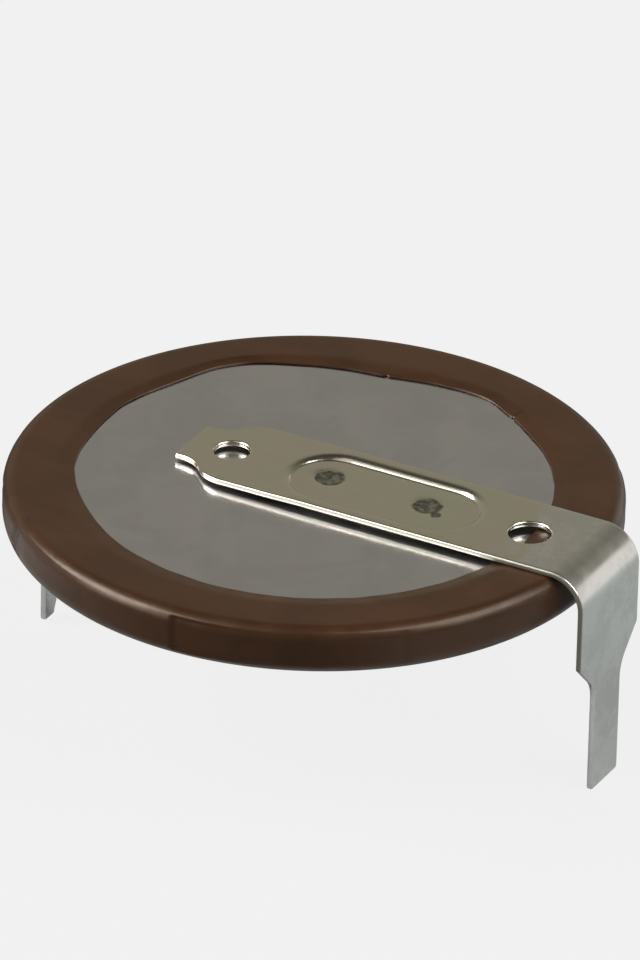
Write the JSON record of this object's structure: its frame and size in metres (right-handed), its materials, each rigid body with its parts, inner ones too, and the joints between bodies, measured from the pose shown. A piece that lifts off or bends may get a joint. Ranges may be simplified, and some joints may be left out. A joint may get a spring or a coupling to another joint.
{
  "type": "lithium coin cell",
  "caption": "Flat round lithium cell in a shrunk insulating sleeve, with two welded strip terminals bent down into solder blades.",
  "frame": {"origin": "centre of the footprint at the level of the blades' tips", "axes": "+Z from the tips towards the can's face, +X along the terminals towards the positive blade"},
  "size_m": [0.021, 0.0202, 0.0083],
  "materials": {
    "can_steel": "finely brushed",
    "sleeve_film": "semi-gloss shrunk film",
    "nickel_strip": "satin nickel"
  },
  "bodies": {
    "root": {"sealed_cell": "can_steel", "sleeve": "sleeve_film", "positive_terminal": "nickel_strip", "negative_terminal": "nickel_strip"}
  },
  "joints": []
}
